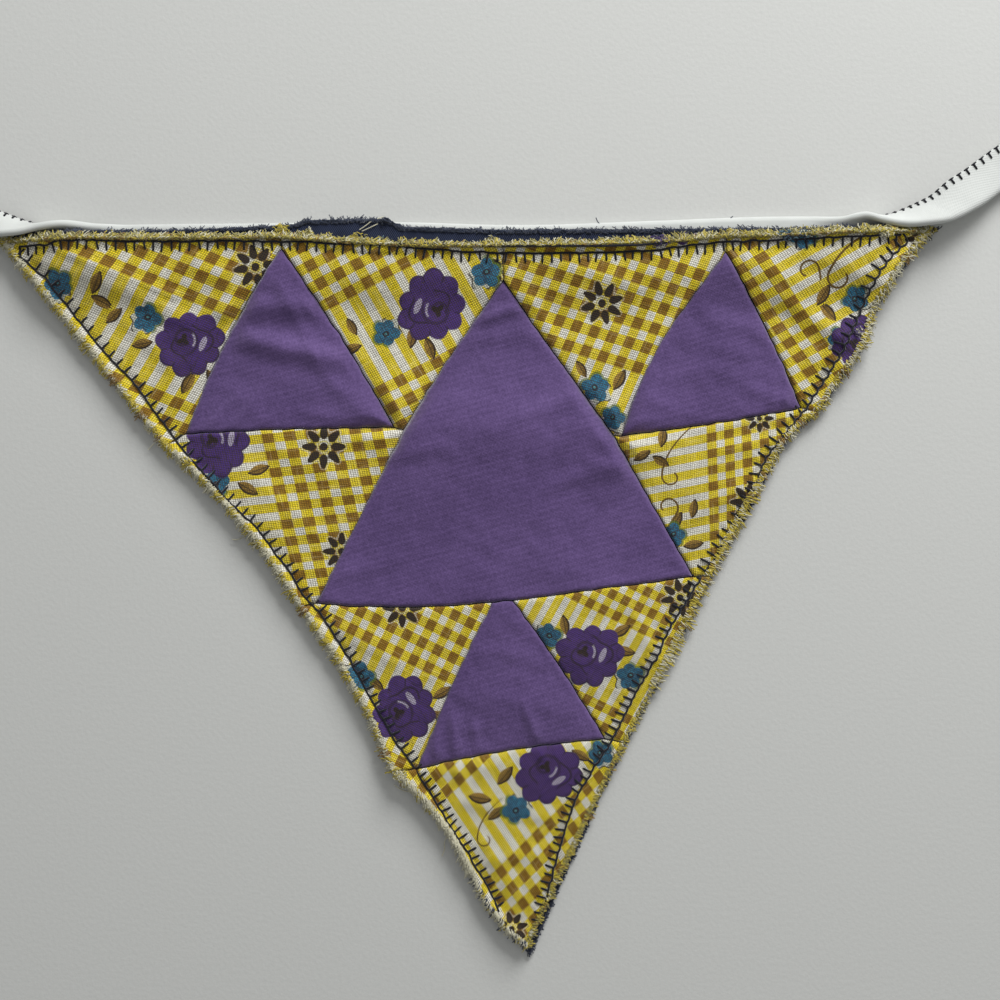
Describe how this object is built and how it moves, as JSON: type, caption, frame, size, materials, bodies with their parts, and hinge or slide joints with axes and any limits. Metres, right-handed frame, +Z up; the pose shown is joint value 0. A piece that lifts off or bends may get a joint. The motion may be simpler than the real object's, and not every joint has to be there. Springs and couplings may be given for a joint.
{
  "type": "fabric bunting flag on tape",
  "caption": "Handmade patchwork bunting triangle with frayed edges, blanket-stitched to a backing cloth and a folded white tape that twists at each corner, lying flat.",
  "frame": {"origin": "on the surface that the flag lies on, under the middle of the flag's large triangle", "axes": "+X along the tape to the right, +Y from the flag's tip towards its tape, +Z up from the surface, out of the flag's face"},
  "size_m": [0.374, 0.2534, 0.009],
  "materials": {
    "tape": "smooth white cotton",
    "backing": "navy twill",
    "purple_cloth": "plain purple cotton",
    "checked_print": "printed cotton, yellow, white and brown checks with flowers",
    "thread": "black sewing thread",
    "fray": "loose yarn ends"
  },
  "bodies": {
    "root": {"tape": "tape", "backing": "backing", "purple_large": "purple_cloth", "purple_upper_left": "purple_cloth", "purple_upper_right": "purple_cloth", "purple_lower": "purple_cloth", "print_left_corner": "checked_print", "print_top_left": "checked_print", "print_left_side": "checked_print", "print_top_right": "checked_print", "print_right_corner": "checked_print", "print_right_side": "checked_print", "print_low_left": "checked_print", "print_low_right": "checked_print", "print_tip": "checked_print"}
  },
  "joints": []
}
